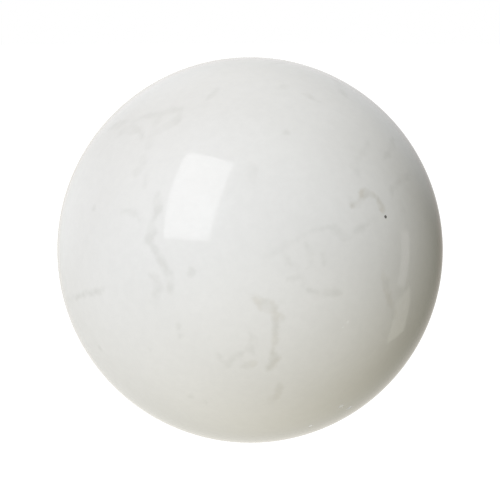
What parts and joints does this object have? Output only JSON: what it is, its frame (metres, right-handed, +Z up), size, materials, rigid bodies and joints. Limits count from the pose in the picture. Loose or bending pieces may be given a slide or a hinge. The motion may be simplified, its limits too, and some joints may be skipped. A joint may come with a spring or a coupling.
{
  "type": "cue ball",
  "caption": "Solid white marbled billiard cue ball of polished cast resin with soft grey and beige veins, clouds and flecks set flush in its surface.",
  "frame": {"origin": "centre of the ball", "axes": "+Z up and -Y the front, the side with the hook-shaped vein at its upper right; every axis is an axis of the sphere"},
  "size_m": [0.0572, 0.0572, 0.0572],
  "materials": {
    "white_resin": "polished cast resin, white",
    "grey_resin": "polished cast resin, tinted pale grey",
    "beige_resin": "polished cast resin, tinted pale beige",
    "dark_grit": "dull dark grain"
  },
  "bodies": {
    "root": {"back_cloud": "grey_resin", "back_fork_vein": "beige_resin", "back_long_vein": "grey_resin", "back_loops": "grey_resin", "back_low_streak": "grey_resin", "back_low_vein": "beige_resin", "ball_body": "white_resin", "centre_cloud": "grey_resin", "centre_right_dashes": "grey_resin", "centre_right_loops": "grey_resin", "crown_wisp": "grey_resin", "dark_speck": "dark_grit", "drop_vein": "beige_resin", "left_drift": "grey_resin", "left_edge_line": "grey_resin", "left_side_cloud": "grey_resin", "left_side_loops": "grey_resin", "left_side_vein": "grey_resin", "left_wavy_vein": "grey_resin", "left_wisp": "grey_resin", "long_diagonal_vein": "grey_resin", "lower_blot": "grey_resin", "lower_brown_dash": "beige_resin", "lower_middle_wisp": "grey_resin", "lower_tail": "beige_resin", "right_cloud": "grey_resin", "right_edge_wisp": "grey_resin", "right_hook_vein": "beige_resin", "right_low_streak": "beige_resin", "right_side_dashes": "grey_resin", "right_side_hook": "grey_resin", "right_side_vein": "beige_resin", "right_upper_wisp": "grey_resin", "scattered_flecks": "grey_resin", "top_dash": "grey_resin", "top_right_flecks": "grey_resin", "underside_cloud": "grey_resin", "upper_left_cloud": "grey_resin", "upper_right_smudge": "grey_resin"}
  },
  "joints": []
}
